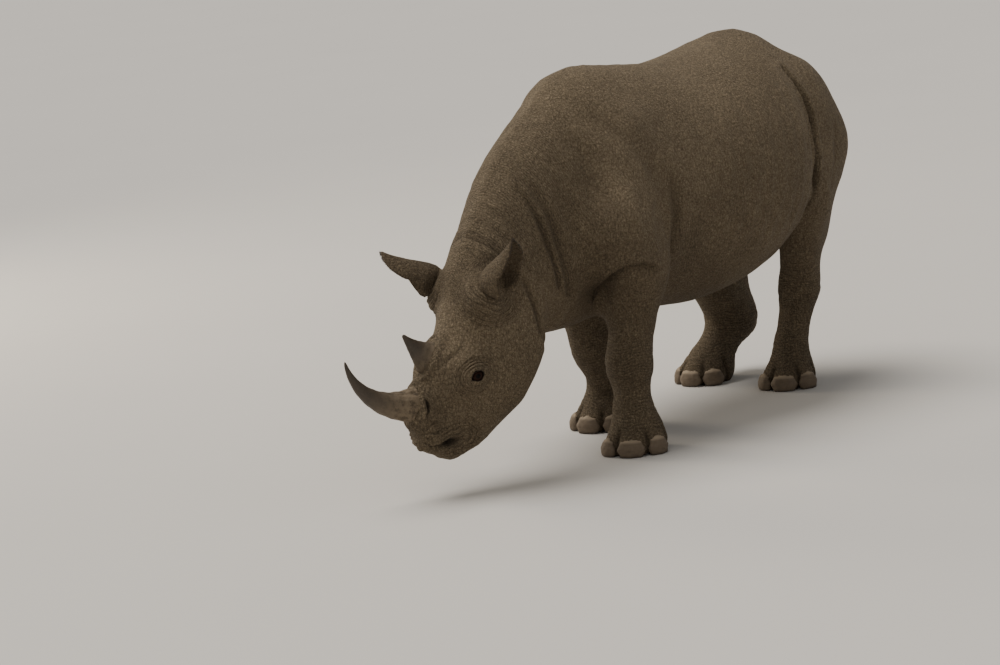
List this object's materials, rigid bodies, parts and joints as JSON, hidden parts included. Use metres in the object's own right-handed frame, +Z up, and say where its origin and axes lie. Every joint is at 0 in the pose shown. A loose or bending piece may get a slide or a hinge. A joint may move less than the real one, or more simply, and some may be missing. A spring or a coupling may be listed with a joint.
{
  "type": "black rhinoceros",
  "caption": "Life-size still figure of a black rhinoceros standing with its head lowered to drink, with two curved horns, a pointed upper lip, cupped ears and a short tail.",
  "frame": {"origin": "middle of the whole animal's footprint on the floor: centre of its box in X and Y, Z 0 at the soles", "axes": "+Z up, -Y towards the horns and the drinking mouth, +X towards the animal's left side"},
  "size_m": [0.9628, 2.9512, 1.5048],
  "materials": {
    "skin": "dry, dusty grey-brown hide, matte, finely wrinkled",
    "horn": "dark brown keratin, fibrous at the root and smoother to the tip",
    "nail": "tan keratin, dull, with a paler rim",
    "eye": "wet, glossy, nearly black brown"
  },
  "bodies": {
    "root": {"torso": "skin", "neck": "skin", "head": "skin", "tail": "skin", "leg_front_left": "skin", "leg_front_right": "skin", "leg_hind_left": "skin", "leg_hind_right": "skin", "ear_left": "skin", "ear_right": "skin", "eye_left": "eye", "eye_right": "eye", "horn_front": "horn", "horn_rear": "horn", "toenail_front_left_outer": "nail", "toenail_front_left_middle": "nail", "toenail_front_left_inner": "nail", "toenail_front_right_outer": "nail", "toenail_front_right_middle": "nail", "toenail_front_right_inner": "nail", "toenail_hind_left_outer": "nail", "toenail_hind_left_middle": "nail", "toenail_hind_left_inner": "nail", "toenail_hind_right_outer": "nail", "toenail_hind_right_middle": "nail", "toenail_hind_right_inner": "nail"}
  },
  "joints": []
}
